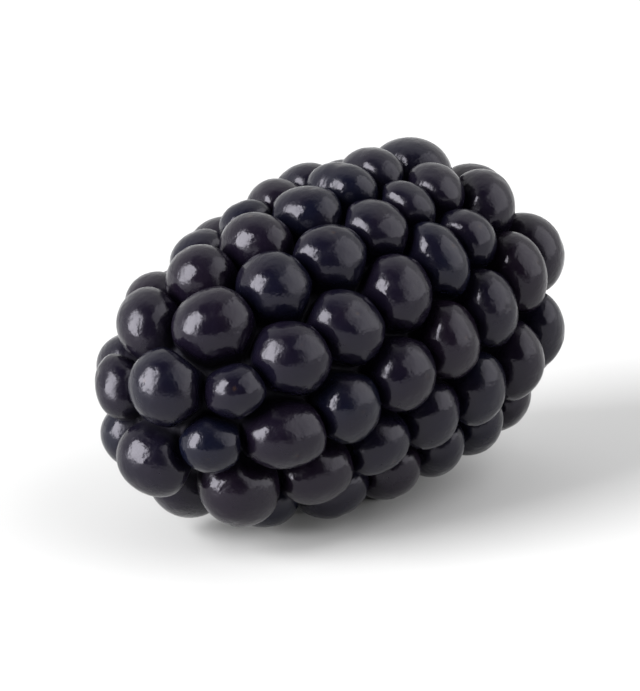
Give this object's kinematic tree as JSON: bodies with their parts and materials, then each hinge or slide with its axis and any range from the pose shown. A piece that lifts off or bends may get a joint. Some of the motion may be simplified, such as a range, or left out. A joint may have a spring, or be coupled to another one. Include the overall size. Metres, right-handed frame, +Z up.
{
  "type": "bramble berry",
  "caption": "Ripe bramble berry as picked, lying on its side: a blunt oval of small near-black drupelets pressed together, with the round end of the core where the stalk came off.",
  "frame": {"origin": "under the middle of the berry's box, on the surface that it rests on", "axes": "+X towards the stem end, which is raised a little, and +Z up"},
  "size_m": [0.0344, 0.0224, 0.0223],
  "materials": {
    "drupelet_skin": "satin",
    "core_end": "matte"
  },
  "bodies": {
    "root": {"bramble_berry": "drupelet_skin"}
  },
  "joints": []
}
